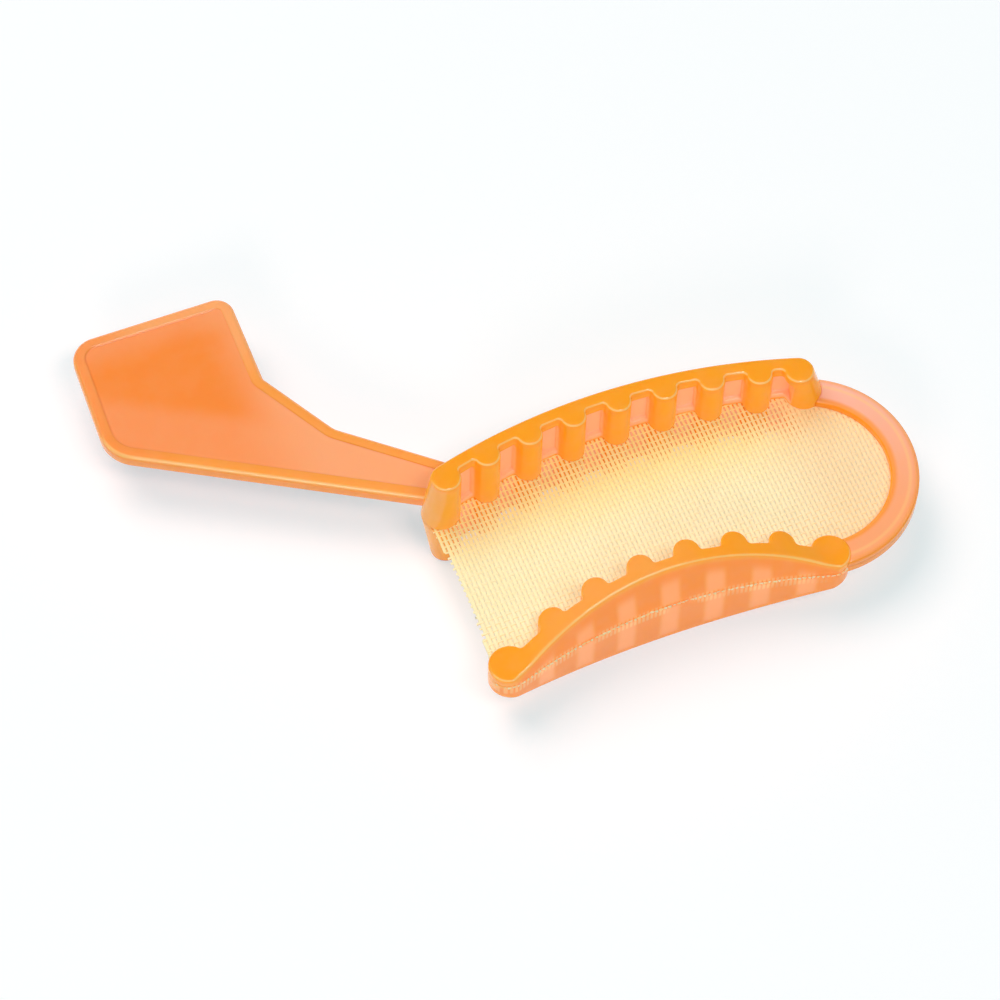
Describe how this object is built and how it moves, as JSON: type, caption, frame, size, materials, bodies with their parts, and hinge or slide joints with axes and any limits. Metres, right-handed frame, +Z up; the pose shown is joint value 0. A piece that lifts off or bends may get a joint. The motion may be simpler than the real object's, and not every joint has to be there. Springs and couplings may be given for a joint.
{
  "type": "dual-arch dental impression tray",
  "caption": "Posterior dual-arch impression tray: two ribbed walls and a retromolar bar around a bite mesh, with a flat finger-paddle handle.",
  "frame": {"origin": "under the middle rib of the cheek-side wall, on the plane that the tray stands on", "axes": "+X along the arch towards the closed retromolar end, +Y to the cheek side, +Z up"},
  "size_m": [0.0925, 0.0637, 0.0173],
  "materials": {
    "frame_plastic": "translucent orange injection-moulded plastic, satin gloss",
    "mesh_gauze": "fine cream woven gauze"
  },
  "bodies": {
    "root": {"handle": "frame_plastic", "buccal_wall_upper": "frame_plastic", "buccal_wall_lower": "frame_plastic", "lingual_wall_upper": "frame_plastic", "lingual_wall_lower": "frame_plastic", "retromolar_bar_upper": "frame_plastic", "retromolar_bar_lower": "frame_plastic", "bite_mesh": "mesh_gauze"}
  },
  "joints": []
}
